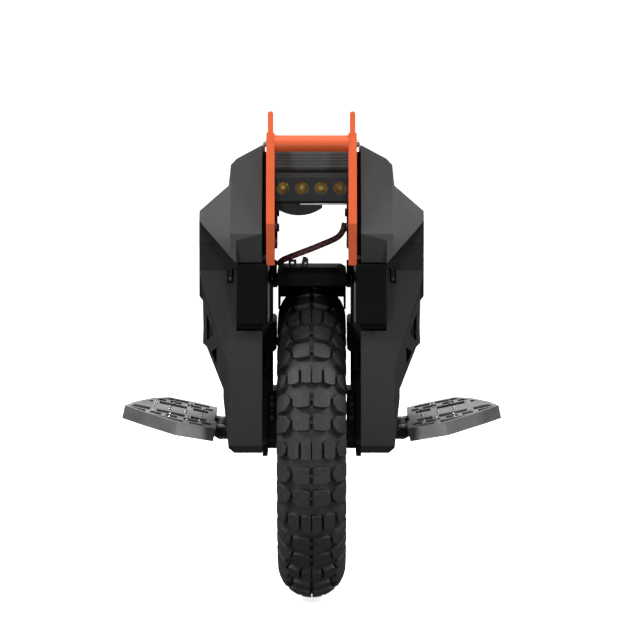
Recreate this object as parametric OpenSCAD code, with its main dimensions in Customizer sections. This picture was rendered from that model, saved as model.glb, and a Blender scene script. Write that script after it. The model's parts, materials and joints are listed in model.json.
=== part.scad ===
// Suspended electric unicycle: one motor wheel, a carriage that carries the axle and the
// pedals, and a sprung chassis with batteries, covers, lights and two grip bars.
// +Z is up, -Y is the front, the origin is where the tyre meets the ground.

/* [Wheel] */
// Outside diameter over the knobs of the tyre
tyre_od = 485; // [470:1:500]
// Width of the tyre
tyre_w = 105; // [90:1:106]
// Height of the tyre's side, from its bead to its tread
tyre_side = 90.1; // [84:0.1:96]
// Height of the tread knobs
tread_h = 8; // [4:0.5:10]
// Number of knob rows round the tyre
tread_rows = 36; // [30:2:44]
// Diameter of the axle inside the motor
axle_d = 25; // [20:1:28]
// Width of the motor drum
drum_w = 72; // [64:1:76]

/* [Chassis] */
// Gap between the side of the tyre and the inner face of a handle plate
plate_clear = 2.5; // [2:0.5:6]
// Thickness of a handle plate
plate_t = 12.2; // [8:0.1:12.4]
// Height of a handle plate, from its foot to the top of its horn
plate_h = 227.5; // [208:0.5:260]
// Height of an upper cover above the foot of a handle plate
cover_h = 176; // [160:1:180]
// Half of the length of the covers, front to back
cover_half_l = 190; // [180:1:228]
// Width of a cover, from the handle plate outwards
cover_w = 100.8; // [92:0.1:118]
// Wall of the covers
cover_wall = 3; // [2:0.5:4]
// Diameter of a grip bar
grip_d = 25; // [20:1:32]
// Height of a leg guard
guard_h = 182.5; // [160:0.5:200]

/* [Suspension] */
// Travel of the suspension
travel = 80; // [50:1:80]
// Diameter of a guide rail
rail_d = 12; // [8:1:14]
// Thickness of a fork plate
fork_t = 8; // [6:0.5:8]
// Diameter of a shock's shaft
shaft_d = 12; // [10:1:16]
// Outside diameter of a shock's spring
spring_d = 48; // [44:1:50]

/* [Pedals] */
// Upward tilt of an unfolded pedal
pedal_tilt = 12.3; // [0:0.1:15]
// Distance of a pedal's pivot beyond the shock's spring
pivot_out = 3; // [2:0.5:12]
// Diameter of a pedal's pivot pin
pivot_d = 12; // [8:1:14]
// Thickness of a pedal
pedal_t = 20; // [14:1:22]
// Width of a pedal's ribs
rib_w = 7; // [4:0.5:10]

/* [Lights] */
// Diameter of a headlight lens
lens_d = 20; // [16:1:24]
// Distance between neighbouring lenses
lens_pitch = 28; // [26:0.5:28]

/* [Hidden] */
$fn = 64;

touch = 0.05;          // running clearance on a radius
air = 1;               // gap between parts that pass each other
eps = 1;               // overrun of a cut past a face
r_tyre = tyre_od / 2;
axle_z = r_tyre;
half_w = tyre_w / 2;

// Places across the object, from the middle outwards
clamp_x0 = half_w + 1.5;
plate_x0 = half_w + plate_clear;
plate_x1 = plate_x0 + plate_t;
fork_x0 = plate_x1 + 0.8;
fork_x1 = fork_x0 + fork_t;
cover_x0 = plate_x1 + 6.5;
frame_x0 = fork_x1 + 2;
frame_t = 6;
frame_x1 = frame_x0 + frame_t;
rail_x = fork_x0 - 1;
rail_y = 62;
shock_x = frame_x1 + spring_d / 2 + 4;
pivot_x = shock_x + spring_d / 2 + pivot_out;
face_x = cover_x0 + 50;        // outer edge of the front faces
w_out = plate_x1 + cover_w;

// Heights
fork_top = tyre_od + 15;
slider_z0 = tyre_od - 95;
slider_z1 = slider_z0 + 43;
fender_z = tyre_od + 35;
plate_z0 = fender_z + 10;
bend_z = plate_z0 + 63;
pivot_z = axle_z + 20.5;
hanger_z1 = pivot_z + 22;
frame_z0 = tyre_od - 125;
frame_z1 = plate_z0 + 70;
lug_z = plate_z0;
light_z = plate_z0 + 114;
box_z1 = plate_z0 + 165.6;
box_z0 = fender_z + travel + 20;
grip_z = plate_z0 + 180;
rear_drop = 16;                // how much lower the rear grip is
cover_top_z = plate_z0 + cover_h;
horn_z = plate_z0 + plate_h;
guard_top = plate_z0 - 98.5;
guard_z = guard_top - guard_h;
pod_z0 = guard_top + 40;

// ---------- helpers ----------

// Children turned so that their Z runs along the axle
module on_axle() { translate([0, 0, axle_z]) rotate([0, 90, 0]) children(); }

// Right-hand part, or the same part mirrored to the other side
module on_side(s) { mirror([s < 0 ? 1 : 0, 0, 0]) children(); }

// The same part on both sides, or at both ends
module both_sides() { for (s = [1, -1]) on_side(s) children(); }
module both_ends() { for (m = [0, 1]) mirror([0, m, 0]) children(); }

// Outlines drawn in (x, z), (y, z) and (x, y), and run far along the third direction
module seen_front(p) { rotate([90, 0, 0]) linear_extrude(2000, center = true) polygon(p); }
module seen_side(p) { rotate([90, 0, 90]) linear_extrude(2000, center = true) polygon(p); }
module seen_top(p) { linear_extrude(2000, center = true) polygon(p); }

// A plate whose outline is in (y, z), from x0 to x1
module yz_plate(p, x0, x1) {
  translate([x0, 0, 0]) rotate([90, 0, 90]) linear_extrude(x1 - x0) polygon(p);
}

// A box between two corners
module span(a, b) { translate(a) cube(b - a); }

// Rods along X and along Y, from one coordinate to the other
module rod_x(x0, x1, y, z, r) { translate([x0, y, z]) rotate([0, 90, 0]) cylinder(h = x1 - x0, r = r); }
module rod_y(y0, y1, x, z, r) { translate([x, y1, z]) rotate([90, 0, 0]) cylinder(h = y1 - y0, r = r); }

// An anticlockwise outline moved inwards by d, with mitred corners
function inset(p, d) = [for (i = [0 : len(p) - 1])
  let (n = len(p), a = p[(i + n - 1) % n], b = p[i], c = p[(i + 1) % n],
       u = (b - a) / norm(b - a), v = (c - b) / norm(c - b))
  b + d * [-u[1] - v[1], u[0] + v[0]] / (1 + u * v)];

// An outline with its mirror image at the other end
function with_mirror(p) = concat(p, [for (i = [len(p) - 1 : -1 : 0]) [-p[i][0], p[i][1]]]);

// ---------- wheel ----------
drum_r = r_tyre - tyre_side;
drum_in = drum_r - 26;
hub_r = 26;
carcass_r = tyre_side / 2 + 6.45;
carcass_c = r_tyre - carcass_r;

// Section of the carcass, moved inwards by d
module carcass(d) {
  translate([carcass_c, 0]) scale([1, (half_w - d) / (carcass_r - d)]) circle(r = carcass_r - d, $fn = 96);
}

module rim_outline() {
  half = drum_w / 2;
  translate([drum_in, -half]) square([drum_r - drum_in - 8.4, drum_w]);
  translate([drum_r - 8.4 - eps, -half - 4]) square([8.4 + eps, drum_w + 8]);
  for (s = [-1, 1]) translate([drum_r - eps, s * (half + 1.5) - 2.5]) square([10 + eps, 5]);
}

module tyre_outline() {
  wall = tread_h + 4;
  difference() {
    carcass(0);
    carcass(wall);
    translate([0, -tyre_w]) square([drum_r, 2 * tyre_w]);
    translate([0, -22]) square([drum_r + 16, 44]);
    rim_outline();
    // shallow groove round the middle of the tread
    translate([r_tyre - tread_h, -4.7]) square([tread_h + eps, 9.4]);
  }
}

module tyre() {
  slot = 16;
  color([0.16, 0.16, 0.17]) on_axle() difference() {
    rotate_extrude($fn = 128) tyre_outline();
    for (i = [0 : tread_rows - 1]) rotate([0, 0, (i + 0.5) * 360 / tread_rows])
      translate([r_tyre - tread_h, -slot / 2, -29]) cube([tread_h + eps, slot, 58]);
  }
}

module inner_tube() {
  d = tread_h + 5.5;
  color([0.1, 0.1, 0.1]) on_axle() rotate_extrude($fn = 128) difference() {
    carcass(d);
    carcass(d + 2);
  }
}

module rim_drum() {
  color([0.12, 0.12, 0.13]) difference() {
    on_axle() rotate_extrude($fn = 128) rim_outline();
    translate([0, 0, axle_z - drum_r - eps]) cylinder(h = 12, r = 4);
  }
}

module motor_cover(s) {
  x0 = drum_w / 2;
  color([0.2, 0.2, 0.21]) on_side(s) difference() {
    on_axle() rotate_extrude($fn = 128) union() {
      translate([hub_r, x0]) square([drum_r - 10 - hub_r, 4]);
      translate([hub_r, x0 - 14]) square([14, 24]);
      translate([drum_r - 40, x0]) square([8, 6]);
    }
    for (a = [0 : 45 : 315])
      on_axle() rotate([0, 0, a + 22.5]) translate([drum_r - 17, 0, x0 - eps]) cylinder(h = 8, r = 3);
  }
}
module motor_cover_left() { motor_cover(1); }
module motor_cover_right() { motor_cover(-1); }

module motor_cover_bolts() {
  x0 = drum_w / 2;
  color([0.6, 0.6, 0.62]) both_sides() for (a = [0 : 45 : 315])
    on_axle() rotate([0, 0, a + 22.5]) translate([drum_r - 17, 0, x0]) {
      cylinder(h = 5, r = 3);
      translate([0, 0, 4]) cylinder(h = 3, r = 5);
    }
}

module magnet_ring() {
  color([0.7, 0.7, 0.72]) on_axle() translate([0, 0, -17.5]) difference() {
    cylinder(h = 35, r = drum_in, $fn = 128);
    translate([0, 0, -eps]) cylinder(h = 37, r = drum_in - 5, $fn = 128);
  }
}

module wheel_bearings() {
  color([0.75, 0.75, 0.77]) both_sides() on_axle() translate([0, 0, drum_w / 2 - 10])
    difference() {
      cylinder(h = 15, r = hub_r);
      translate([0, 0, -eps]) cylinder(h = 17, r = axle_d / 2 + touch);
    }
}

module valve_stem() {
  color([0.55, 0.5, 0.35]) translate([0, 0, axle_z - drum_r - 0.6]) difference() {
    cylinder(h = 11, r = 4);
    translate([0, 0, -eps]) cylinder(h = 14, r = 1.5);
  }
}

// ---------- carriage ----------
axle_end_r = axle_d / 2 - 1.5;
stator_r = drum_in - 6;
teeth = 18;

module axle() {
  color([0.5, 0.5, 0.52]) {
    rod_x(-clamp_x0, clamp_x0, 0, axle_z, axle_d / 2);
    rod_x(-fork_x1 - 11, fork_x1 + 11, 0, axle_z, axle_end_r);
  }
}

module stator_core() {
  color([0.45, 0.42, 0.4]) on_axle() linear_extrude(30, center = true) difference() {
    union() {
      circle(r = stator_r - 32);
      for (i = [0 : teeth - 1]) rotate(i * 360 / teeth) {
        translate([stator_r - 36, -6]) square([34, 12]);
        translate([stator_r - 5, -13]) square([4, 26]);
      }
    }
    circle(r = axle_d / 2);
    for (a = [0 : 60 : 300]) rotate(a) translate([50, 0]) circle(r = 12);
  }
}

module stator_windings() {
  color([0.75, 0.4, 0.2]) on_axle() for (i = [0 : teeth - 1]) rotate([0, 0, i * 360 / teeth])
    difference() {
      translate([stator_r - 27, -10, -19]) cube([22, 20, 38]);
      translate([stator_r - 28, -6, -15]) cube([24, 12, 30]);
    }
}

module axle_clamps() {
  p = [[-40, axle_z + 5], [-28, axle_z - 8], [28, axle_z - 8], [40, axle_z + 5],
       [40, axle_z + 82.5], [-40, axle_z + 82.5]];
  color([0.1, 0.1, 0.11]) both_sides() difference() {
    yz_plate(p, clamp_x0, fork_x0);
    rod_x(0, 200, 0, axle_z, axle_end_r);
  }
}

module axle_nuts() {
  color([0.6, 0.6, 0.62]) both_sides() difference() {
    translate([fork_x1, 0, axle_z]) rotate([0, 90, 0]) cylinder(h = 10, r = 17, $fn = 6);
    rod_x(fork_x1 - eps, fork_x1 + 20, 0, axle_z, axle_end_r);
  }
}

fork_half = 42;
module fork_plate(s) {
  p = [[-30, axle_z - 20], [30, axle_z - 20], [fork_half, axle_z], [fork_half, fork_top - 8],
       [34, fork_top], [-34, fork_top], [-fork_half, fork_top - 8], [-fork_half, axle_z]];
  color([0.13, 0.13, 0.14]) on_side(s) difference() {
    union() {
      yz_plate(p, fork_x0, fork_x1);
      // stiffening ribs on the tyre side
      both_ends() for (z = [[axle_z + 82.5, slider_z0], [slider_z1, fork_top - 8]])
        span([fork_x0 - 8, fork_half - 7, z[0]], [fork_x0 + touch, fork_half, z[1]]);
    }
    rod_x(0, 200, 0, axle_z, axle_end_r);
    for (z = [axle_z + 110, slider_z1 + 32]) rod_x(fork_x0 - eps, fork_x1 + eps, 0, z, 14);
  }
}
module fork_plate_left() { fork_plate(1); }
module fork_plate_right() { fork_plate(-1); }

bush_r = rail_d / 2 + 2;
module slider_block(s) {
  reach = rail_y + bush_r + 5;
  x1 = rail_x + bush_r + 1.6;
  p = [[clamp_x0, -fork_half], [rail_x - bush_r - 1.5, -reach], [x1, -reach], [x1, -fork_half],
       [fork_x0, -fork_half], [fork_x0, fork_half], [x1, fork_half], [x1, reach],
       [rail_x - bush_r - 1.5, reach], [clamp_x0, fork_half]];
  color([0.15, 0.15, 0.16]) on_side(s) difference() {
    translate([0, 0, slider_z0]) linear_extrude(slider_z1 - slider_z0) polygon(p);
    for (y = [-rail_y, rail_y])
      translate([rail_x, y, slider_z0 - eps]) cylinder(h = 60, r = bush_r);
  }
}
module slider_block_left() { slider_block(1); }
module slider_block_right() { slider_block(-1); }

module slider_bushes() {
  color([0.75, 0.65, 0.4]) both_sides() both_ends() translate([rail_x, rail_y, slider_z0])
    difference() {
      cylinder(h = slider_z1 - slider_z0, r = bush_r);
      translate([0, 0, -eps]) cylinder(h = 60, r = rail_d / 2 + touch);
    }
}

module carriage_bolts() {
  color([0.45, 0.45, 0.47]) both_sides() {
    for (b = [[0.5, 72, 2], [0.5, 52, 2], [0.5, 61, 3.4], [0.5, 41, 3.4]]) both_ends()
      rod_y(40, 43, (clamp_x0 + fork_x0) / 2 - b[0], axle_z + b[1], b[2]);
    for (y = [-24, 24]) rod_x(fork_x1, fork_x1 + 1.5, y, slider_z0 + 21, 6);
  }
}

module fender() {
  t = 3;
  skirt = 80;
  w = half_w + 0.5;
  z1 = fender_z;
  hood = [[-w, z1 - skirt], [w, z1 - skirt], [w, z1 - 13], [36, z1], [-36, z1], [-w, z1 - 13]];
  under = [[-w, z1 - 2 * skirt], [w, z1 - 2 * skirt], [w, z1 - 13], [36, z1], [-36, z1], [-w, z1 - 13]];
  lip = 27.4;
  fall = 7;
  side = [[-105, z1 - lip], [72, z1 - lip], [72, z1 - skirt], [172, z1 - skirt], [172, z1 - 72],
          [142, z1 - 34], [62, z1 - fall], [-97, z1], [-105, z1 - 8]];
  core = [[-101, z1 - 90], [190, z1 - 90], [138, z1 - 37], [60, z1 - fall - t], [-96, z1 - t],
          [-101, z1 - 10]];
  color([0.09, 0.09, 0.1]) {
    difference() {
      intersection() { seen_front(hood); seen_side(side); }
      intersection() { seen_front(inset(under, t)); seen_side(core); }
      span([-w - eps, -80, z1 - 90], [w + eps, 72, z1 - 22]);
    }
    both_sides() {
      // ears that carry the fender between the fork plates
      span([w, -34, fork_top - 16], [fork_x0, 34, fork_top - 4]);
      // brackets beside the hood
      span([w, -68, z1 - 30], [rail_x - rail_d / 2 - 1, -50, z1 + 8]);
    }
  }
}

module cable_clamp() {
  y0 = -96;
  color([0.12, 0.12, 0.13]) {
    difference() {
      translate([-17, y0 + 4, fender_z]) rotate([90, 0, 0])
        linear_extrude(4) polygon([[0, 0], [12, 0], [12, 13], [8, 16], [4, 16]]);
      rod_y(y0 - 2, y0 + 6, -9.5, fender_z + 5, 2);
    }
    difference() {
      span([-35, y0, fender_z], [-23, y0 + 4, fender_z + 12]);
      rod_y(y0 - 2, y0 + 6, -29, fender_z + 6, 2.5);
    }
  }
}

module pedal_hanger(s) {
  x1 = pivot_x - 12;
  color([0.14, 0.14, 0.15]) on_side(s) difference() {
    union() {
      span([fork_x1, -38, pivot_z - 22], [x1, 38, hanger_z1]);
      span([x1 - 2, -29, pivot_z - 14], [pivot_x, 29, pivot_z + 4]);
      rod_y(-29, 29, pivot_x, pivot_z, 11);
    }
    rod_y(-40, 40, pivot_x, pivot_z, pivot_d / 2);
    rod_x(0, fork_x1 + 13, 0, axle_z, 19);
    for (y = [-38 - eps, 26]) span([fork_x1 + 14, y, pivot_z - 14], [x1 - 8, y + 12 + eps, hanger_z1 - 8]);
  }
}
module pedal_hanger_left() { pedal_hanger(1); }
module pedal_hanger_right() { pedal_hanger(-1); }

module pedal_pins() {
  color([0.55, 0.55, 0.57]) both_sides() {
    rod_y(-62, 62, pivot_x, pivot_z, pivot_d / 2);
    both_ends() rod_y(62, 65, pivot_x, pivot_z, 9);
  }
}

shaft_top = hanger_z1 + 155;
module shock_shafts() {
  color([0.8, 0.8, 0.82]) both_sides() translate([shock_x, 0, hanger_z1]) {
    cylinder(h = 12, r = spring_d / 2 - 3);
    cylinder(h = shaft_top - hanger_z1, r = shaft_d / 2);
  }
}

// ---------- pedals ----------
pedal_plan = [[9, -113], [67, -135], [123, -98], [152, -74], [142, -14], [116, 80], [93, 129],
              [38, 137], [14, 130]];
pedal_top = 12;
// Windows of the deck: rows [y0, y1] out from the solid middle band, and their ends along X
deck_near = [[26, 50], [60, 104], [114, 150]];
deck_far = [[18, 32], [38, 60], [70, 88], [95, 112], [120, 150]];
deck_rows = [[33, 61, deck_near], [68, 92, deck_far], [99, 122, deck_near]];

// Children in a pedal's own frame: X outwards from the pivot, Z off the tread
module pedal_frame(s) {
  on_side(s) translate([pivot_x, 0, pivot_z]) rotate([0, -pedal_tilt, 0]) children();
}

module pedal(s) {
  low = pedal_top - pedal_t;
  rim = inset(pedal_plan, rib_w);
  color([0.48, 0.48, 0.46]) pedal_frame(s) {
    difference() {
      union() {
        translate([0, 0, low]) linear_extrude(pedal_t) polygon(pedal_plan);
        both_ends() rod_y(31, 60, 0, 0, 10);
        both_ends() span([0, 31, low], [20, 60, pedal_top - 3]);
      }
      // windows between the ribs, in front of and behind the middle band
      translate([0, 0, low - eps]) linear_extrude(pedal_t + 2 * eps) intersection() {
        polygon(rim);
        for (m = [-1, 1], row = deck_rows, x = row[2])
          translate([x[0], m > 0 ? row[0] : -row[1]]) square([x[1] - x[0], row[1] - row[0]]);
      }
      span([-20, -31 + touch, low - eps], [14, 31 - touch, pedal_top + eps]);
      rod_y(-70, 70, 0, 0, pivot_d / 2 + touch);
      both_ends() span([-20, 60.5, low - 20], [12, 66, pedal_top + eps]);
    }
  }
}
module pedal_left() { pedal(1); }
module pedal_right() { pedal(-1); }

stud_h = 2;
module pedal_studs(s) {
  spots = [[35, 14], [60, 14], [85, 14], [110, 14], [55, 64.5], [82, 64.5], [108, 64.5], [35, 64.5],
           [55, 95.5], [82, 95.5]];
  color([0.8, 0.8, 0.8]) pedal_frame(s) for (m = [-1, 1], p = spots)
    translate([p[0], m * p[1], pedal_top]) cylinder(h = stud_h, r = 2);
}
module pedal_studs_left() { pedal_studs(1); }
module pedal_studs_right() { pedal_studs(-1); }

// ---------- chassis ----------
leg_y = cover_half_l - 33;
pod_y = cover_half_l - 49;
bolt_zs = [plate_z0 + 32, plate_z0 + 56];

module side_frame(s) {
  end = cover_half_l - 22;
  p = with_mirror([[-112, frame_z0], [-112, plate_z0 - 2], [-end, plate_z0 + 18],
                   [-end, frame_z1 - 12], [18 - end, frame_z1]]);
  cut = with_mirror([[-92, frame_z0 + 30], [-92, plate_z0 - 20], [-80, plate_z0 - 10]]);
  color([0.3, 0.3, 0.32]) on_side(s) difference() {
    union() {
      yz_plate([for (i = [len(p) - 1 : -1 : 0]) p[i]], frame_x0, frame_x1);
      both_ends() span([rail_x - rail_d / 2 - 1, 54, lug_z], [frame_x0, 70, lug_z + 22]);
      span([frame_x1, -16, plate_z0 + 22], [shock_x + 18, 16, plate_z0 + 32]);
    }
    both_ends() translate([rail_x, rail_y, lug_z - eps]) cylinder(h = 18, r = rail_d / 2);
    both_ends() for (z = bolt_zs) rod_x(frame_x0 - eps, frame_x1 + eps, leg_y, z, 4);
    rod_x(frame_x0 - eps, frame_x1 + eps, 0, plate_z0 - 60, 40);
    for (y = [-80, 80]) rod_x(frame_x0 - eps, frame_x1 + eps, y, plate_z0 - 90, 20);
    // room for the rising pedal hanger
    span([frame_x0 - eps, -44, frame_z0 - eps], [frame_x1 + eps, 44, hanger_z1 + travel + 4]);
  }
}
module side_frame_left() { side_frame(1); }
module side_frame_right() { side_frame(-1); }

module guide_rails() {
  color([0.75, 0.75, 0.77]) both_sides() both_ends()
    translate([rail_x, rail_y, slider_z0 - 30])
      cylinder(h = lug_z + 17 - eps + 1 - slider_z0 + 30 - eps, r = rail_d / 2);
}

body_z0 = hanger_z1 + travel + 45;
body_z1 = plate_z0 + 22;
module shock_bodies() {
  color([0.85, 0.45, 0.15]) both_sides() translate([shock_x, 0, body_z0]) difference() {
    union() {
      cylinder(h = body_z1 - body_z0, r = 16);
      translate([0, 0, body_z1 - body_z0 - 40]) cylinder(h = 8, r = spring_d / 2);
    }
    translate([0, 0, -eps]) cylinder(h = 20, r = shaft_d / 2 + touch);
    translate([0, 0, 12]) cylinder(h = body_z1 - body_z0 - 18, r = shaft_d / 2 + 4);
  }
}

module shock_springs() {
  z0 = hanger_z1 + 12;
  z1 = body_z1 - 40;
  color([0.9, 0.35, 0.12]) both_sides() translate([shock_x, 0, z0]) difference() {
    cylinder(h = z1 - z0, r = spring_d / 2 - 0.5);
    translate([0, 0, -eps]) cylinder(h = z1 - z0 + 2, r = spring_d / 2 - 7);
  }
}

// Corners of a handle plate at one end, its top d lower; the front end is at -Y
plate_lean = 30;
function plate_end(d) = [[72 - cover_half_l, cover_top_z - 43 - d], [48 - cover_half_l, bend_z],
  [53 - cover_half_l, plate_z0], [14 - cover_half_l, plate_z0], [-cover_half_l, bend_z],
  [plate_lean - cover_half_l, grip_z + 15.4 - d], [56 - cover_half_l, grip_z + 15.4 - d],
  [78 - cover_half_l, cover_top_z - d]];

module handle_plate(s) {
  rear = plate_end(rear_drop);
  outline = concat(plate_end(0), [for (i = [len(rear) - 1 : -1 : 0]) [-rear[i][0], rear[i][1]]]);
  mid = (plate_x0 + plate_x1) / 2;
  color([0.93, 0.42, 0.2]) on_side(s) difference() {
    union() {
      yz_plate(outline, plate_x0, plate_x1);
      // horn at the front, thinner than the plate, with a round tip
      intersection() {
        yz_plate([[plate_lean - cover_half_l, grip_z + 15], [53 - cover_half_l, grip_z + 15],
                  [50 - cover_half_l, horn_z], [plate_lean + 8 - cover_half_l, horn_z]],
                 mid - 4, mid + 4);
        union() {
          rod_y(-cover_half_l, 0, mid, horn_z - 4, 4);
          span([mid - 4, -cover_half_l, 0], [mid + 4, 0, horn_z - 4]);
        }
      }
    }
    both_ends() for (z = bolt_zs) rod_x(plate_x0 - eps, plate_x1 + eps, leg_y, z, 4);
    for (m = [0, 1]) at_grip(m) rod_x(plate_x0 - eps, plate_x1 + eps, 0, 0, 4);
  }
}
module handle_plate_left() { handle_plate(1); }
module handle_plate_right() { handle_plate(-1); }

// Children at the middle of the front grip (m = 0) or of the rear grip (m = 1)
module at_grip(m) {
  translate([0, (2 * m - 1) * (leg_y - 5), grip_z - m * rear_drop]) children();
}

module grip(m) {
  color([0.93, 0.42, 0.2]) at_grip(m) difference() {
    rod_x(-plate_x0, plate_x0, 0, 0, grip_d / 2);
    rod_x(-plate_x0 - eps, plate_x0 + eps, 0, 0, grip_d / 2 - 8.5);
  }
}
module front_grip() { grip(0); }
module rear_grip() { grip(1); }

module handle_bolts() {
  color([0.75, 0.75, 0.77]) both_sides() {
    both_ends() for (z = bolt_zs) {
      rod_x(plate_x0, frame_x1, leg_y, z, 4);
      rod_x(plate_x0 - 3, plate_x0, leg_y, z, 6.5);
      difference() {
        rod_x(plate_x1, frame_x0, leg_y, z, 7);
        rod_x(plate_x1 - eps, frame_x0 + eps, leg_y, z, 4);
      }
    }
    for (m = [0, 1]) at_grip(m) {
      rod_x(plate_x0 - 20, plate_x1 + 5, 0, 0, 4);
      rod_x(plate_x1, plate_x1 + 4, 0, 0, 5.5);
    }
  }
}

box_half = plate_x0 - 0.5;
box_end = cover_half_l - 74;    // half length of the controller box
port_x = 36;
seat_x = 35;
seat_y = box_end - 24;
lamp_y = box_end + 24;          // back of the reflectors
button_y = 60;
module controller_box() {
  fins = 4;
  wall = 4;
  color([0.2, 0.2, 0.21]) difference() {
    union() {
      span([-plate_x0, -box_end, box_z1 - 23], [plate_x0, box_end, box_z1]);
      span([-box_half, 4 - box_end, box_z0], [box_half, box_end, box_z1 - 20]);
    }
    span([-box_half + wall, 4 + wall - box_end, box_z0 + wall], [box_half - wall, box_end - 24, box_z1 - 26]);
    for (i = [1 : fins]) both_ends()
      span([-plate_x0 - eps, box_end - 3, box_z1 - 1 - i * 4.5], [plate_x0 + eps, box_end + eps, box_z1 + 1 - i * 4.5]);
    translate([0, button_y, box_z1 - 12]) cylinder(h = 20, r = 9 + touch);
    for (x = [-port_x, port_x]) rod_y(box_end - 20, box_end + eps, x, box_z1 - 40, 9);
    for (x = [-seat_x, seat_x], y = [-seat_y, seat_y])
      translate([x, y, box_z1 - 14]) cylinder(h = 20, r = 2.5);
  }
}

module headlight_housing() {
  z0 = light_z - 23;
  z1 = light_z + 22;
  p = [[-lamp_y - 26, z0 + 4], [-lamp_y - 20, z0], [26 - lamp_y, z0], [26 - lamp_y, z1],
       [-lamp_y - 18, z1], [-lamp_y - 26, z1 - 6]];
  color([0.1, 0.1, 0.11]) difference() {
    yz_plate(p, -box_half, box_half);
    for (i = [-1.5 : 1 : 1.5]) rod_y(-lamp_y - 30, -lamp_y, i * lens_pitch, light_z, lens_d / 2 + 0.5);
  }
}

module headlight_reflectors() {
  r = lens_d / 2 + 0.5;
  color([0.8, 0.8, 0.8]) for (i = [-1.5 : 1 : 1.5])
    translate([i * lens_pitch, -lamp_y, light_z]) rotate([90, 0, 0]) rotate_extrude()
      polygon([[0, 0], [r, 0], [r, 20], [r - 1, 20], [4, 4], [0, 4]]);
}

module headlight_lenses() {
  color([0.95, 0.9, 0.55, 0.6]) for (i = [-1.5 : 1 : 1.5])
    translate([i * lens_pitch, -lamp_y - 20, light_z]) rotate([90, 0, 0])
      cylinder(h = 4, r = lens_d / 2 + 0.5);
}

module horn() {
  z0 = light_z - 41;
  color([0.08, 0.08, 0.09]) intersection() {
    rod_y(-lamp_y - 18, 12 - lamp_y, -19, z0 + 60, 60);
    span([-box_half + 1, -lamp_y - 20, z0], [16, 20 - lamp_y, light_z - 23]);
  }
}

// ---------- covers ----------
cover_lean = 3.6;               // fall of the covers towards the rear, in degrees
top_y = cover_half_l - 70;      // where the top of a cover starts and ends
open_z = plate_z0 + 4;          // lower edge of an upper cover

// Children leaning towards the rear, about the front edge of the covers' top
module leaning() {
  translate([0, -top_y, plate_z0]) rotate([-cover_lean, 0, 0]) translate([0, top_y, -plate_z0]) children();
}

function upper_front() = [[cover_x0, plate_z0 - 30], [face_x - 39, plate_z0 - 30], [w_out, plate_z0 + 62],
  [w_out, plate_z0 + 77], [face_x, plate_z0 + 115], [face_x - 3, cover_top_z - 30],
  [face_x - 12, cover_top_z - 20.5], [cover_x0, cover_top_z]];
brow_z = plate_z0 + 48;         // lower edge of the sloping end faces
function upper_side(back) = [[back - cover_half_l, open_z], [cover_half_l - back, open_z],
  [cover_half_l, brow_z], [top_y, cover_top_z - 2 * top_y * tan(cover_lean)],
  [-top_y, cover_top_z], [-cover_half_l, brow_z]];
function upper_top() = [[cover_x0, -cover_half_l], [face_x - 3, -cover_half_l],
  [w_out, 44 - cover_half_l], [w_out, 2 * cover_half_l], [cover_x0, 2 * cover_half_l]];

// Plan of a cover, moved inwards by d: above the brow both ends' corners fall back as they rise
module corners(d) {
  fall = 0.57;
  z1 = brow_z;
  intersection_for (m = [0, 1]) mirror([0, m, 0]) {
    multmatrix([[1, 0, 0, 0], [0, 1, fall, -fall * z1], [0, 0, 1, 0], [0, 0, 0, 1]])
      intersection() { seen_top(inset(upper_top(), d)); span([0, -600, z1], [300, 600, z1 + 300]); }
    intersection() { seen_top(inset(upper_top(), d)); span([0, -600, 0], [300, 600, z1]); }
  }
}

// Hollow under the brow, beside the corners, whose panel falls back towards the open edge
module brow(d) {
  fall = 20 / (brow_z - open_z);
  drop = 0.26;
  low = open_z - 20;
  y = cover_half_l - 1.1 * d;
  p = [[y - fall * (brow_z - low), low], [y + 60, low], [y + 60, brow_z + 30], [y + 30 * fall, brow_z + 30]];
  both_ends() multmatrix([[1, 0, 0, 0], [0, 1, 0, 0], [-drop, 0, 1, drop * cover_x0], [0, 0, 0, 1]])
    yz_plate(p, cover_x0 - eps, face_x - 12 + d);
}

module upper_cover(s) {
  t = cover_wall;
  color([0.24, 0.24, 0.25]) on_side(s) difference() {
    intersection() {
      leaning() seen_front(upper_front());
      seen_side(upper_side(0));
      corners(0);
    }
    difference() {
      intersection() {
        leaning() seen_front(inset(upper_front(), t));
        seen_side(inset(upper_side(0), t));
        corners(t);
      }
      brow(t);
    }
    brow(0);
    // open underneath, behind the nose
    leaning() span([cover_x0 + t, 1 - pod_y, plate_z0 - 40], [w_out, pod_y - 1, plate_z0 + 40]);
    span([0, -74, plate_z0 - eps], [frame_x0 + air, 74, plate_z0 + travel - 18]);
    both_ends() for (z = bolt_zs) rod_x(cover_x0 - eps, frame_x0, leg_y, z, 8);
    both_ends() span([cover_x0 + t, 100, open_z + t], [frame_x1 + air, cover_half_l - 20, frame_z1 + air]);
  }
}
module upper_cover_left() { upper_cover(1); }
module upper_cover_right() { upper_cover(-1); }

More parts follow.
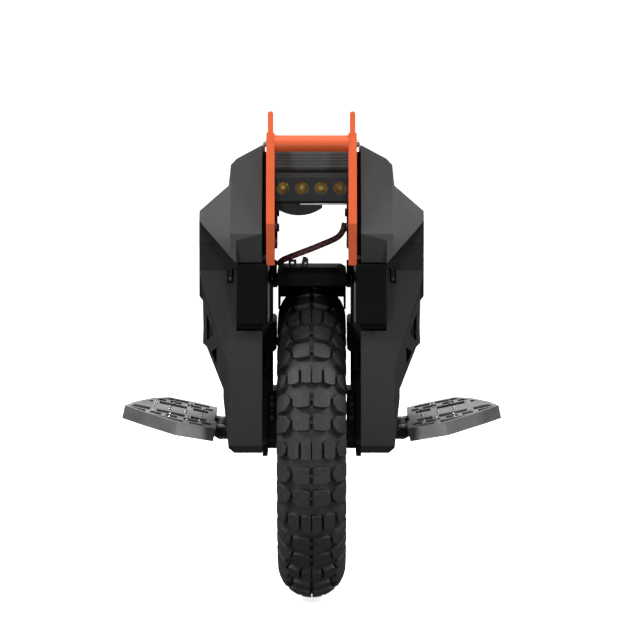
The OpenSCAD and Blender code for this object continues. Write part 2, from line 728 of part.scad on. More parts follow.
module side_cover(s) {
  t = cover_wall;
  roof = [[w_out, plate_z0 + 62], [face_x - 12, plate_z0 - 0.5]];
  x0 = face_x - 12.5;
  p = concat([[x0, pod_z0], [w_out - 6, pod_z0], [w_out, pod_z0 + 8]], roof, [[x0, plate_z0 - 0.5]]);
  arch = concat([[w_out, plate_z0 + 28], roof[0], roof[1]], [[face_x - 2, plate_z0 + 7], [w_out - 25, plate_z0 + 31]]);
  q = [[-pod_y, 0], [pod_y, 0], [pod_y, 900], [-pod_y, 900]];
  color([0.1, 0.1, 0.11]) on_side(s) {
    difference() {
      intersection() { leaning() seen_front(p); seen_side(q); }
      intersection() {
        leaning() seen_front([[face_x - 20, pod_z0 - eps], [w_out - t, pod_z0 - eps],
                    [w_out - t, plate_z0 + 58], [face_x - 12, plate_z0 - 4], [face_x - 20, plate_z0 - 4]]);
        seen_side([[-pod_y + t, 0], [pod_y - t, 0], [pod_y - t, 900], [-pod_y + t, 900]]);
      }
      // room for the shock
      span([0, -spring_d / 2 - 2, pod_z0], [shock_x + 18, spring_d / 2 + 2, cover_top_z]);
      // row of slanted windows in the outer wall
      for (i = [-2 : 2]) translate([0, i * 48, 0]) yz_plate(
        [[-18, pod_z0 + 14], [10, pod_z0 + 14], [18, pod_z0 + 84], [-2, pod_z0 + 84]],
        w_out - 20, w_out + eps);
    }
    // raised panel over the arch, and the tongue that takes the cover's bolt
    leaning() intersection() {
      seen_front(arch);
      span([0, -pod_y - 3, 0], [w_out, t - pod_y, cover_top_z]);
    }
    both_ends() span([tongue_x - 2.5, pod_y - t, tongue_z], [tongue_x + 2.5, pod_y + 9, plate_z0 - 8]);
  }
}
module side_cover_left() { side_cover(1); }
module side_cover_right() { side_cover(-1); }

guard_y = cover_half_l - 72;
tongue_x = face_x - 2.2;
tongue_z = plate_z0 - 27;
slope_z = guard_top - 53.5;      // where the front of a guard starts to fall back
front_y = cover_half_l - 2;
slope = 0.2958;                  // fall back of the sloping face for each unit of height
function guard_front() = [[cover_x0, guard_z], [face_x - 8, guard_z], [face_x, guard_z + 8],
  [face_x, guard_top], [cover_x0, guard_top]];
function guard_side() = [[8 - front_y, guard_z], [-guard_y, guard_z], [-guard_y, guard_top],
  [slope * 53.5 - front_y, guard_top], [-front_y, slope_z], [-front_y, guard_z + 12]];

// Sloping face beside the battery's nose
module guard_slope() {
  top = guard_top + 88.5;
  gap = 2;
  intersection() {
    seen_front([[face_x - 12, slope_z], [face_x, slope_z], [w_out - 6, guard_top + 59.5], [w_out, top],
                [tongue_x + 2.5 + gap, top], [tongue_x + 2.5 + gap, tongue_z - gap],
                [tongue_x - 2.5 - gap, tongue_z - gap], [tongue_x - 2.5 - gap, top], [face_x - 12, top]]);
    seen_side([[-front_y, slope_z], [-pod_y, slope_z], [-pod_y, top], [slope * (top - slope_z) - front_y, top]]);
  }
}

// Outer strip of a guard, turned outwards
module guard_wing() {
  g = guard_top;
  difference() {
    intersection() {
      seen_front([[face_x, guard_z + 5], [face_x + 8, g - 99.5], [face_x + 8, g - 86.5],
                  [w_out - 11, g - 25.5], [w_out - 5, g - 20.5], [w_out - 6, g + 3.5],
                  [w_out - 5, g + 59.5], [face_x, slope_z]]);
      seen_top([[face_x - 1, -front_y], [w_out, -pod_y - 4], [w_out, -pod_y], [face_x - 1, -pod_y]]);
    }
    // triangular pockets in the strip
    rotate([90, 0, 0]) translate([0, 0, pod_y + 6]) linear_extrude(60) {
      polygon([[w_out - 11, g - 16.5], [w_out - 11, g + 25.5], [w_out - 22, g - 6.5]]);
      polygon([[w_out - 18, g - 32.5], [w_out - 26, g - 50.5], [w_out - 27, g - 24.5]]);
    }
  }
}

module lower_cover(s) {
  t = cover_wall;
  color([0.17, 0.17, 0.18]) on_side(s) both_ends() {
    difference() {
      intersection() { seen_front(guard_front()); seen_side(guard_side()); }
      intersection() {
        seen_front(inset(guard_front(), t));
        seen_side([[11 - front_y, guard_z + t], [0, guard_z + t], [0, guard_top - t],
                   [slope * 52 + t - front_y, guard_top - t], [t - front_y, slope_z],
                   [t - front_y, guard_z + 13]]);
      }
    }
    guard_slope();
    guard_wing();
  }
}
module lower_cover_left() { lower_cover(1); }
module lower_cover_right() { lower_cover(-1); }

module battery(s) {
  x1 = w_out - 28;
  z1 = plate_z0 - 5.5 - (pod_y + top_y) * tan(cover_lean);
  color([0.06, 0.06, 0.07]) on_side(s) both_ends() {
    span([frame_x1 + air, 46, guard_top + 1.5], [x1, pod_y - cover_wall - air, z1]);
    // nose between the guard and the upper cover, and the step under it
    span([fork_x0, pod_y - cover_wall - air, guard_top + 10.5],
         [face_x - 12.7, cover_half_l - 4, plate_z0 + 2.5]);
    span([cover_x0, pod_y - cover_wall - air, guard_top + 1.5],
         [face_x - 12.7, cover_half_l - 21, guard_top + 11]);
  }
}
module battery_left() { battery(1); }
module battery_right() { battery(-1); }

// Dark seals that close the gap between a handle plate and an upper cover
module cover_seals() {
  color([0.05, 0.05, 0.05]) both_sides() difference() {
    yz_plate(inset(upper_side(20), 10), plate_x1, cover_x0);
    yz_plate(inset(upper_side(20), 28), plate_x1 - eps, cover_x0 + eps);
    span([0, -top_y, plate_z0 - eps], [cover_x0 + eps, top_y, plate_z0 + travel + 40]);
    both_ends() for (z = bolt_zs) rod_x(plate_x1 - eps, cover_x0 + eps, leg_y, z, 7);
  }
}

module cover_bolts() {
  color([0.7, 0.7, 0.72]) both_sides() both_ends()
    rod_y(pod_y + 9, pod_y + 11, tongue_x, tongue_z + 5, 2.4);
}

module tail_light() {
  color([0.7, 0.05, 0.05]) span([-22, box_end, box_z1 - 52], [22, box_end + 7, box_z1 - 28]);
}

module display() {
  color([0.05, 0.05, 0.06]) span([-28, -32, box_z1], [28, 38, box_z1 + 3]);
}

module charge_ports() {
  color([0.6, 0.6, 0.62]) for (x = [-port_x, port_x]) difference() {
    union() {
      rod_y(box_end - 20, box_end, x, box_z1 - 40, 9);
      rod_y(box_end, box_end + 3, x, box_z1 - 40, 11.5);
    }
    rod_y(box_end - 13, box_end + 4, x, box_z1 - 40, 5.5);
  }
}

button_travel = 2;
module power_button() {
  color([0.75, 0.1, 0.1]) translate([0, button_y, box_z1 - 12 + button_travel + 1])
    cylinder(h = 13 - button_travel, r = 9);
}

// ---------- motor cable ----------
cable_r = 4.7;
// Route of the cable from the handle plate to the clamp, its heights above the fender
route_x = 55;          // half gap between the plates that the route is drawn for
route = [[50, -100, 68], [47, -101, 56], [40, -102, 47], [29, -103, 41], [17, -103, 36],
         [5, -103, 31], [-8, -103, 26], [-21, -103, 21], [-34, -102, 16], [-44, -97, 11],
         [-48, -86, 6], [-49, -74, 5]];
cable_pts = [for (p = route) [p[0] * plate_x0 / route_x, p[1], p[2] + fender_z]];
cable_sides = 8;

function cable_dir(i) =
  let (a = cable_pts[max(i - 1, 0)], b = cable_pts[min(i + 1, len(cable_pts) - 1)])
  (b - a) / norm(b - a);
function cable_ring(i) =
  let (d = cable_dir(i), u = cross(d, [0, 1, 0.3]) / norm(cross(d, [0, 1, 0.3])), v = cross(d, u))
  [for (k = [0 : cable_sides - 1])
    cable_pts[i] + cable_r * (cos(k * 360 / cable_sides) * u + sin(k * 360 / cable_sides) * v)];

module motor_cable() {
  n = len(cable_pts);
  m = cable_sides;
  pts = [for (i = [0 : n - 1]) each cable_ring(i)];
  sides = [for (i = [0 : n - 2]) for (k = [0 : m - 1])
    [i * m + k, i * m + (k + 1) % m, (i + 1) * m + (k + 1) % m, (i + 1) * m + k]];
  ends = [[for (k = [m - 1 : -1 : 0]) k], [for (k = [0 : m - 1]) (n - 1) * m + k]];
  color([0.25, 0.05, 0.05]) polyhedron(pts, concat(sides, ends));
}

tyre();
inner_tube();
rim_drum();
motor_cover_left();
motor_cover_right();
magnet_ring();
wheel_bearings();
motor_cover_bolts();
valve_stem();
axle();
stator_core();
stator_windings();
axle_clamps();
axle_nuts();
fork_plate_left();
fork_plate_right();
slider_block_left();
slider_block_right();
slider_bushes();
carriage_bolts();
fender();
cable_clamp();
pedal_hanger_left();
pedal_hanger_right();
pedal_pins();
shock_shafts();
pedal_left();
pedal_right();
pedal_studs_left();
pedal_studs_right();
side_frame_left();
side_frame_right();
guide_rails();
shock_bodies();
shock_springs();
handle_plate_left();
handle_plate_right();
front_grip();
rear_grip();
handle_bolts();
controller_box();
headlight_housing();
headlight_reflectors();
headlight_lenses();
horn();
upper_cover_left();
upper_cover_right();
side_cover_left();
side_cover_right();
lower_cover_left();
lower_cover_right();
battery_left();
battery_right();
cover_seals();
cover_bolts();
tail_light();
display();
charge_ports();
power_button();
motor_cable();
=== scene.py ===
"""Looks of the suspended electric unicycle: materials, tread, springs, cable, lamps, light and camera."""
import json
import math

import bpy
import bmesh
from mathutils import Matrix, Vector


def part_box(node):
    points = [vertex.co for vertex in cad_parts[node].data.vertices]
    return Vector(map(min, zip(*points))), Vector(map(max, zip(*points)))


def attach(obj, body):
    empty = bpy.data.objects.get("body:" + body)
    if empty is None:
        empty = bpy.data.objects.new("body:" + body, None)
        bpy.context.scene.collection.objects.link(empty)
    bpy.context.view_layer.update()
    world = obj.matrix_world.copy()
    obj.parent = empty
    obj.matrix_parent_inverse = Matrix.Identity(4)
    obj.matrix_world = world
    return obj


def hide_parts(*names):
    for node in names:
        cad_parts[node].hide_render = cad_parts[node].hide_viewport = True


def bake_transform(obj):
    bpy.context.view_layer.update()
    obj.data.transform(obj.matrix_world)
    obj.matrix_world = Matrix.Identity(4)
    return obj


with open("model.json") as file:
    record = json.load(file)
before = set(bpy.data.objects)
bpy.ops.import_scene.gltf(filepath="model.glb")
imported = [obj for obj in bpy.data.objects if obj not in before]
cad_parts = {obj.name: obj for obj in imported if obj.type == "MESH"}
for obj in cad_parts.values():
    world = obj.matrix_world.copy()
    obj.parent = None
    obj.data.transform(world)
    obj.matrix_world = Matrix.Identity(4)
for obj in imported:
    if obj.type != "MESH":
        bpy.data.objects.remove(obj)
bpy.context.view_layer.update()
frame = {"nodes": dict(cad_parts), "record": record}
nodes = frame["nodes"]
MM = 0.001
LEFT_RIGHT = (("left", 1), ("right", -1))


# ---------- materials ----------

def add_node(mat, kind, **values):
    """A shader node with its input sockets or properties set by name."""
    node = mat.node_tree.nodes.new(kind)
    for key, value in values.items():
        name = key.replace("_", " ")
        if name in node.inputs:
            node.inputs[name].default_value = value
        else:
            setattr(node, key, value)
    return node


def join(mat, source, out, target, socket):
    mat.node_tree.links.new(source.outputs[out], target.inputs[socket])


def scaled(colour, k):
    return tuple(min(1.0, c * k) for c in colour[:3]) + (1.0,)


def surface(name, colour, rough=0.5, metal=0.0, mottle=14.0, spread=0.25, rough_spread=0.08,
            grain=900.0, bump=0.15, bump_depth=0.0002, coat=0.0, dust=0.0, spec=0.5):
    """A material whose colour drifts slowly, whose roughness varies and whose bump is a fine grain."""
    mat = bpy.data.materials.new(name)
    mat.use_nodes = True
    shader = mat.node_tree.nodes["Principled BSDF"]
    shader.inputs["Metallic"].default_value = metal
    shader.inputs["Coat Weight"].default_value = coat
    shader.inputs["Coat Roughness"].default_value = 0.15
    shader.inputs["Specular IOR Level"].default_value = spec
    place = add_node(mat, "ShaderNodeTexCoord")

    drift = add_node(mat, "ShaderNodeTexNoise", Scale=mottle, Detail=5.0, Roughness=0.6)
    tones = add_node(mat, "ShaderNodeValToRGB")
    tones.color_ramp.elements[0].position = 0.3
    tones.color_ramp.elements[0].color = scaled(colour, 1 - spread)
    tones.color_ramp.elements[1].position = 0.72
    tones.color_ramp.elements[1].color = scaled(colour, 1 + spread)
    join(mat, place, "Object", drift, "Vector")
    join(mat, drift, "Fac", tones, "Fac")
    if dust:
        specks = add_node(mat, "ShaderNodeTexNoise", Scale=mottle * 4, Detail=8.0, Roughness=0.75)
        amount = add_node(mat, "ShaderNodeMapRange")
        amount.inputs["From Min"].default_value = 0.5
        amount.inputs["From Max"].default_value = 0.75
        amount.inputs["To Max"].default_value = dust
        mix = add_node(mat, "ShaderNodeMix", data_type="RGBA")
        join(mat, place, "Object", specks, "Vector")
        join(mat, specks, "Fac", amount, "Value")
        join(mat, amount, "Result", mix, 0)
        join(mat, tones, "Color", mix, 6)
        mix.inputs[7].default_value = (0.3, 0.29, 0.27, 1)
        join(mat, mix, 2, shader, "Base Color")
    else:
        join(mat, tones, "Color", shader, "Base Color")

    wear = add_node(mat, "ShaderNodeTexNoise", Scale=mottle * 3, Detail=6.0)
    shine = add_node(mat, "ShaderNodeMapRange")
    shine.inputs["To Min"].default_value = max(0.03, rough - rough_spread)
    shine.inputs["To Max"].default_value = min(1.0, rough + rough_spread)
    join(mat, place, "Object", wear, "Vector")
    join(mat, wear, "Fac", shine, "Value")
    join(mat, shine, "Result", shader, "Roughness")

    fine = add_node(mat, "ShaderNodeTexNoise", Scale=grain, Detail=3.0)
    relief = add_node(mat, "ShaderNodeBump", Strength=bump, Distance=bump_depth)
    join(mat, place, "Object", fine, "Vector")
    join(mat, fine, "Fac", relief, "Height")
    join(mat, relief, "Normal", shader, "Normal")
    return mat


def braid(name, dark, light):
    """A braided sleeve: two crossing sets of strands, laid out along the tube's UV map."""
    mat = surface(name, dark, rough=0.6, grain=1500)
    shader = mat.node_tree.nodes["Principled BSDF"]
    uv = add_node(mat, "ShaderNodeUVMap")
    first = add_node(mat, "ShaderNodeTexWave", Scale=1.0, wave_type="BANDS", bands_direction="DIAGONAL")
    flip = add_node(mat, "ShaderNodeMapping")
    flip.inputs["Scale"].default_value = (-1, 1, 1)
    second = add_node(mat, "ShaderNodeTexWave", Scale=1.0, wave_type="BANDS", bands_direction="DIAGONAL")
    product = add_node(mat, "ShaderNodeMath", operation="MULTIPLY")
    tones = add_node(mat, "ShaderNodeValToRGB")
    tones.color_ramp.elements[0].position = 0.1
    tones.color_ramp.elements[0].color = scaled(dark, 1)
    tones.color_ramp.elements[1].position = 0.5
    tones.color_ramp.elements[1].color = scaled(light, 1)
    join(mat, uv, "UV", first, "Vector")
    join(mat, uv, "UV", flip, "Vector")
    join(mat, flip, "Vector", second, "Vector")
    join(mat, first, "Fac", product, 0)
    join(mat, second, "Fac", product, 1)
    join(mat, product, "Value", tones, "Fac")
    join(mat, tones, "Color", shader, "Base Color")
    return mat


def clear_lens(name, tint):
    """Glass of the headlamps: smooth, and clear all through."""
    mat = surface(name, tint, rough=0.03, rough_spread=0.01, grain=300, bump=0.02)
    shader = mat.node_tree.nodes["Principled BSDF"]
    shader.inputs["Transmission Weight"].default_value = 1.0
    shader.inputs["IOR"].default_value = 1.45
    return mat


MATERIALS = {
    "tyre": surface("tread_rubber", (0.014, 0.014, 0.0145), rough=0.66, spec=0.4, mottle=30, spread=0.3,
                    grain=420, bump=0.35, bump_depth=0.0006, dust=0.06),
    "tube_rubber": surface("tube_rubber", (0.02, 0.02, 0.02), rough=0.6),
    "drum": surface("drum_paint", (0.03, 0.03, 0.032), rough=0.42, grain=700),
    "cover_metal": surface("cast_paint", (0.05, 0.05, 0.052), rough=0.5, grain=500, bump=0.25),
    "magnets": surface("nickel", (0.6, 0.6, 0.58), rough=0.3, metal=1.0),
    "steel": surface("machined_steel", (0.5, 0.5, 0.5), rough=0.32, metal=1.0, grain=600),
    "dark_steel": surface("black_oxide", (0.05, 0.05, 0.053), rough=0.42, metal=0.8),
    "lamination": surface("lamination", (0.3, 0.29, 0.28), rough=0.5, metal=0.8),
    "copper": surface("copper", (0.75, 0.33, 0.15), rough=0.35, metal=0.9),
    "frame_black": surface("anodised_black", (0.004, 0.004, 0.0045), rough=0.5, grain=800, spec=0.2),
    "bush": surface("bronze", (0.5, 0.38, 0.17), rough=0.4, metal=1.0),
    "fender_plastic": surface("fender_plastic", (0.005, 0.005, 0.0055), rough=0.6, bump=0.2, spec=0.03),
    "pedal_metal": surface("blasted_aluminium", (0.2, 0.2, 0.195), rough=0.42, metal=0.85, grain=500,
                           spread=0.35, bump=0.3, dust=0.05),
    "studs": surface("stud_steel", (0.75, 0.75, 0.73), rough=0.25, metal=1.0),
    "side_frame_metal": surface("milled_aluminium", (0.03, 0.03, 0.032), rough=0.45, metal=0.6),
    "spring": surface("spring_coat", (0.75, 0.13, 0.02), rough=0.3, coat=0.4),
    "orange": surface("orange_coat", (0.52, 0.075, 0.016), rough=0.45, spread=0.07, grain=1400, bump=0.12,
                      mottle=8),
    "bright_bolt": surface("bright_zinc", (0.5, 0.5, 0.49), rough=0.34, metal=1.0),
    "controller": surface("heat_sink", (0.06, 0.06, 0.063), rough=0.5, metal=0.1, grain=900, spec=0.3),
    "lamp_black": surface("lamp_black", (0.012, 0.012, 0.013), rough=0.5, bump=0.05, spec=0.15),
    "reflector": surface("warm_reflector", (0.95, 0.8, 0.4), rough=0.16, metal=1.0, spread=0.12, bump=0.03),
    "lens": clear_lens("lens", (1.0, 0.99, 0.93)),
    "cover_plastic": surface("cover_plastic", (0.031, 0.031, 0.0315), rough=0.6, spec=0.3, spread=0.12,
                             rough_spread=0.1, grain=1100, bump=0.3, bump_depth=0.0003, mottle=7),
    # darker copy of cover_plastic for the lower covers: its lower colour is painted shade
    "shaded_cover_plastic": surface("shaded_cover_plastic", (0.014, 0.014, 0.0145), rough=0.6, spec=0.2, spread=0.12,
                             rough_spread=0.1, grain=1100, bump=0.3, bump_depth=0.0003, mottle=7),
    "pod_plastic": surface("pod_plastic", (0.008, 0.008, 0.0085), rough=0.6, grain=1100, bump=0.3, spec=0.15),
    "battery_case": surface("battery_case", (0.0045, 0.0045, 0.0048), rough=0.6, bump=0.05, spec=0.02),
    "seal": surface("foam_seal", (0.003, 0.003, 0.003), rough=0.9, grain=1500, bump=0.4, spec=0.1),
    "tail_lens": surface("tail_lens", (0.5, 0.01, 0.01), rough=0.15, coat=0.6),
    "display_glass": surface("display_glass", (0.008, 0.008, 0.01), rough=0.08, bump=0.02),
    "button": surface("button_red", (0.55, 0.02, 0.015), rough=0.3),
    "cable": braid("cable_braid", (0.006, 0.005, 0.005), (0.12, 0.01, 0.012)),
}
SLOT_OF = {row["node"]: row["material_slot"] for row in frame["record"]["subparts"]}
SLOT_OF["pedal_pins"] = "dark_steel"
SLOT_OF["cover_bolts"] = "dark_steel"
# the lower covers take the darker copy of the cover plastic, whose colour paints their shade
SLOT_OF["lower_cover_left"] = SLOT_OF["lower_cover_right"] = "shaded_cover_plastic"


# ---------- CAD nodes that stay ----------

BEVEL = {"upper_cover_left": 2.5, "upper_cover_right": 2.5, "lower_cover_left": 2.2,
         "lower_cover_right": 2.2, "handle_plate_left": 2.0, "handle_plate_right": 2.0,
         "side_cover_left": 1.2, "side_cover_right": 1.2, "battery_left": 2.5, "battery_right": 2.5,
         "headlight_housing": 1.2, "controller_box": 0.6, "fender": 1.0, "pedal_left": 0.8,
         "pedal_right": 0.8, "axle_clamps": 1.0, "slider_block_left": 0.8, "slider_block_right": 0.8}
SMALL_BEVEL = 0.35
ROUNDING_STEPS = 3


def round_edges(obj, width):
    """Merges split vertices, dissolves flat triangles and rounds the sharp edges by width (mm)."""
    weld = obj.modifiers.new("weld", "WELD")
    weld.merge_threshold = 1e-5
    flat = obj.modifiers.new("flat", "DECIMATE")
    flat.decimate_type = "DISSOLVE"
    flat.angle_limit = math.radians(0.4)
    bevel = obj.modifiers.new("bevel", "BEVEL")
    bevel.width = width * MM
    bevel.segments = ROUNDING_STEPS
    bevel.limit_method = "ANGLE"
    bevel.angle_limit = math.radians(24)
    bevel.use_clamp_overlap = True
    even = obj.modifiers.new("even", "WEIGHTED_NORMAL")
    even.keep_sharp = True


def dress(node):
    """Gives a CAD node its material, smooth shading and rounded edges."""
    obj = nodes[node]
    mesh = obj.data
    mesh.materials.clear()
    mesh.materials.append(MATERIALS[SLOT_OF[node]])
    if "custom_normal" in mesh.attributes:
        mesh.attributes.remove(mesh.attributes["custom_normal"])
    for face in mesh.polygons:
        face.use_smooth = True
    if node == "handle_bolts":
        # only the bolts of the grips are bright; the others are black
        mesh.materials.append(MATERIALS["dark_steel"])
        grip_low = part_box("rear_grip")[0].z
        for face in mesh.polygons:
            face.material_index = 0 if face.center.z > grip_low else 1
    round_edges(obj, BEVEL.get(node, SMALL_BEVEL))


for name in nodes:
    dress(name)


# ---------- new pieces ----------

def piece(name, verts, faces, body, slot, stands_for=(), smooth=False):
    """A mesh object from vertices in metres, which rides on a body and has a slot's material."""
    mesh = bpy.data.meshes.new(name)
    mesh.from_pydata(verts, [], faces)
    mesh.update()
    obj = bpy.data.objects.new(name, mesh)
    bpy.context.scene.collection.objects.link(obj)
    mesh.materials.append(MATERIALS[slot])
    for face in mesh.polygons:
        face.use_smooth = smooth
    if body:
        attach(obj, body)
    if stands_for:
        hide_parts(*stands_for)
    return obj


# Tyre: a lathed carcass and rows of tread blocks, in the order B, A, A
tyre_low, tyre_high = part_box("tyre")
AXLE = Vector((0, 0, (tyre_low.z + tyre_high.z) / 2))
TYRE_R = (tyre_high.z - tyre_low.z) / 2
CROWN_R = (tyre_high.x - tyre_low.x) / 2
CROWN_C = TYRE_R - CROWN_R
KNOB_H = 8.0 * MM
SIDEWALL_STEP = 0.9 * MM        # how far the thick sidewall lies under the shoulder knobs' tops
ROWS = 39
FIRST_B = math.radians(4.4)


def on_tyre(phi, rho, angle):
    """Point at phi round the cross-section, rho from its middle, and angle round the wheel."""
    r = CROWN_C + rho * math.cos(phi)
    return Vector((rho * math.sin(phi), -r * math.cos(angle), AXLE.z + r * math.sin(angle)))


def carcass(verts, faces):
    """The casing under the knobs, with thicker sidewalls, down to the beads."""
    base = CROWN_R - KNOB_H
    outline = []
    for deg in range(-132, 133, 6):
        rise = max(0.0, min(1.0, (abs(deg) - 72) / 12))
        rho = base + (CROWN_R - SIDEWALL_STEP - base) * rise
        outline.append((math.radians(deg), rho))
    steps = 156
    first = len(verts)
    for k in range(steps):
        turn = 2 * math.pi * k / steps
        for phi, rho in outline:
            verts.append(on_tyre(phi, rho, turn))
    n = len(outline)
    for k in range(steps):
        a, b = first + k * n, first + (k + 1) % steps * n
        for i in range(n - 1):
            faces.append((a + i, a + i + 1, b + i + 1, b + i))
        faces.append((a + n - 1, a, b, b + n - 1))


def knob(verts, faces, turn, strips, height=1.0):
    """A block of tread: strips of (phi in degrees, start, end), the last two in mm round the wheel."""
    first = len(verts)
    draft = 1.3
    for phi_deg, start, end in strips:
        phi = math.radians(phi_deg)
        top = CROWN_R - (1 - height) * KNOB_H
        for rho, spare in ((CROWN_R - KNOB_H - 1 * MM, draft), (top, 0.0)):
            for s in (start - spare, end + spare):
                verts.append(on_tyre(phi, rho, turn + s * MM / TYRE_R))
    n = len(strips)
    for i in range(n - 1):
        a, b = first + 4 * i, first + 4 * (i + 1)
        faces.append((a + 2, a + 3, b + 3, b + 2))
        faces.append((a, a + 2, b + 2, b))
        faces.append((a + 1, b + 1, b + 3, a + 3))
        faces.append((a, b, b + 1, a + 1))
    faces.append((first, first + 1, first + 3, first + 2))
    last = first + 4 * (n - 1)
    faces.append((last, last + 2, last + 3, last + 1))


def mirrored(strips, side):
    """The strips for one side of the tyre, in order so that their faces keep their direction."""
    ordered = strips if side > 0 else strips[::-1]
    return [(side * phi, a, b) for phi, a, b in ordered]


CENTRE_A = [(3.4, -10.5, 12), (8, -12.5, 13), (17, -13, 13), (26, -12.5, 12.5), (32.5, -9, 10)]
CENTRE_B = [(1.0, -13.5, 13.5), (9, -14.5, 14.5), (16.8, -12.5, 12.5)]
OUTER_B = [(21.6, -11, 11), (27, -13.5, 13.5), (36, -13.5, 13.5), (42.5, -11, 11)]
SHOULDER_BIG = [(38.5, -3, 3), (48, -14, 12), (60, -15, 14), (76, -15, 14), (91, -13, 12)]
SHOULDER_SMALL = [(48.5, -4, 4), (56, -11, 11), (68, -13, 13), (80, -12, 12), (91, -11, 11)]
TIE_BAR = [(-4, -2.5, 2.5), (4, -2.5, 2.5)]
SHIFT = (0, 3.5, 0)             # of each kind of row round the wheel, in mm


def build_tyre():
    verts, faces = [], []
    carcass(verts, faces)
    pitch = 2 * math.pi / ROWS
    for row in range(ROWS):
        turn = FIRST_B + row * pitch + SHIFT[row % 3] * MM / TYRE_R
        for side in (1, -1):
            if row % 3 == 0:
                knob(verts, faces, turn, mirrored(CENTRE_B, side))
                knob(verts, faces, turn, mirrored(OUTER_B, side))
                knob(verts, faces, turn, mirrored(SHOULDER_SMALL, side))
            else:
                knob(verts, faces, turn, mirrored(CENTRE_A, side))
                knob(verts, faces, turn, mirrored(SHOULDER_BIG, side))
        if row % 3:
            knob(verts, faces, turn, TIE_BAR, height=0.55)
    tyre = piece("tyre_tread", verts, faces, "wheel", "tyre", ["tyre"], smooth=True)
    bm = bmesh.new()
    bm.from_mesh(tyre.data)
    bmesh.ops.recalc_face_normals(bm, faces=bm.faces)
    bm.to_mesh(tyre.data)
    bm.free()
    bevel = tyre.modifiers.new("bevel", "BEVEL")
    bevel.width = 0.6 * MM
    bevel.segments = 2
    bevel.limit_method = "ANGLE"
    bevel.angle_limit = math.radians(28)
    tyre.modifiers.new("even", "WEIGHTED_NORMAL")


build_tyre()


def tube(name, points, radius, sides, body, slot, stands_for=(), turns_per_m=0.0):
    """A round tube along points, with a UV map of strands along it."""
    points = [Vector(p) for p in points]
    verts, faces, lengths = [], [], [0.0]
    side_dir = None
    for i, p in enumerate(points):
        along = (points[min(i + 1, len(points) - 1)] - points[max(i - 1, 0)]).normalized()
        if i:
            lengths.append(lengths[-1] + (p - points[i - 1]).length)
        if side_dir is None:
            side_dir = along.orthogonal().normalized()
        side_dir = (side_dir - along * side_dir.dot(along)).normalized()
        other = along.cross(side_dir)
        for k in range(sides):
            a = 2 * math.pi * k / sides
            verts.append(p + radius * (math.cos(a) * side_dir + math.sin(a) * other))
    for i in range(len(points) - 1):
        for k in range(sides):
            a, b = i * sides + k, i * sides + (k + 1) % sides
            faces.append((a, b, b + sides, a + sides))
    faces.append(tuple(range(sides - 1, -1, -1)))
    faces.append(tuple(range(len(verts) - sides, len(verts))))
    obj = piece(name, verts, faces, body, slot, stands_for, smooth=True)
    layer = obj.data.uv_layers.new(name="UVMap")
    for face in obj.data.polygons:
        ring = face.index // sides
        k = face.index % sides
        if face.index >= (len(points) - 1) * sides:
            continue
        corners = ((ring, k), (ring, k + 1), (ring + 1, k + 1), (ring + 1, k))
        for loop, (i, j) in zip(face.loop_indices, corners):
            layer.data[loop].uv = (j / sides * 1.6, lengths[min(i, len(lengths) - 1)] * turns_per_m)
    return obj


def smooth_path(points, per_span=8):
    """A Catmull-Rom curve through the points."""
    points = [Vector(p) for p in points]
    out = []
    for i in range(len(points) - 1):
        a, b = points[max(i - 1, 0)], points[i]
        c, d = points[i + 1], points[min(i + 2, len(points) - 1)]
        for k in range(per_span):
            t = k / per_span
            out.append(0.5 * ((2 * b) + (c - a) * t + (2 * a - 5 * b + 4 * c - d) * t * t
                              + (3 * b - a - 3 * c + d) * t ** 3))
    out.append(points[-1])
    return out


# Motor cable, from the left handle plate down to the clamp on the fender
CABLE_ROUTE = [(50, -100, 588), (47, -101, 576), (40, -102, 567), (29, -103, 561), (17, -103, 556),
               (5, -103, 551), (-8, -103, 546), (-21, -103, 541), (-34, -102, 536), (-44, -97, 531),
               (-48, -86, 526), (-49, -74, 525)]
route = smooth_path([Vector(p) * MM for p in CABLE_ROUTE])
cable = tube("motor_cable_braid", route, 4.6 * MM, 20, None, "cable", ["motor_cable"], turns_per_m=60)
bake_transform(cable)


# Coil springs round the shock absorbers
def build_spring(side_name, side):
    low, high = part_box("shock_springs")
    middle = (high.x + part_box("shock_bodies")[1].x) / 2 - (high.y - low.y) / 2
    wire = 4.0 * MM
    radius = (high.y - low.y) / 2 - wire
    z0, z1 = low.z + wire, high.z - wire
    turns = 8
    points = []
    for i in range(turns * 28 + 1):
        t = i / (turns * 28)
        a = 2 * math.pi * turns * t
        points.append((side * middle + radius * math.cos(a), radius * math.sin(a), z0 + (z1 - z0) * t))
    spring = tube(f"coil_spring_{side_name}", points, wire, 12, None, "spring", ["shock_springs"])
    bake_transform(spring)


for side_name, side in LEFT_RIGHT:
    build_spring(side_name, side)


# Headlamps: a faceted bowl, a bezel and a bulb behind each lens, and under them a bright lip whose colour is
# a painted highlight on the housing's lower edge
BULB_R = 4.0 * MM
BULB_BASE_R = 4.5 * MM
BEZEL_WIRE_R = 0.7 * MM
BOWL = ((0.97, 0.02), (0.94, 0.22), (0.82, 0.42), (0.64, 0.6), (0.44, 0.74), (0.2, 0.84), (0.02, 0.86))


def grid_faces(rows, cols):
    """Quads between neighbouring closed rows of cols vertices."""
    faces = []
    for i in range(rows - 1):
        for k in range(cols):
            a, b = i * cols + k, i * cols + (k + 1) % cols
            faces.append((a, b, b + cols, a + cols))
    return faces


def lathed(name, centre, profile, sides, slot, stands_for=(), smooth=True, wobble=0.0):
    """A shape turned about an axis along Y: profile rows are (radius, y), wobble makes facets."""
    verts = []
    for row, (radius, y) in enumerate(profile):
        for k in range(sides):
            a = 2 * math.pi * (k + 0.5 * (row % 2)) / sides
            reach = radius * (1 - (wobble if (k + row) % 2 else 0.0))
            verts.append((centre.x + reach * math.cos(a), y, centre.z + reach * math.sin(a)))
    return piece(name, verts, grid_faces(len(profile), sides), "chassis", slot, stands_for, smooth)


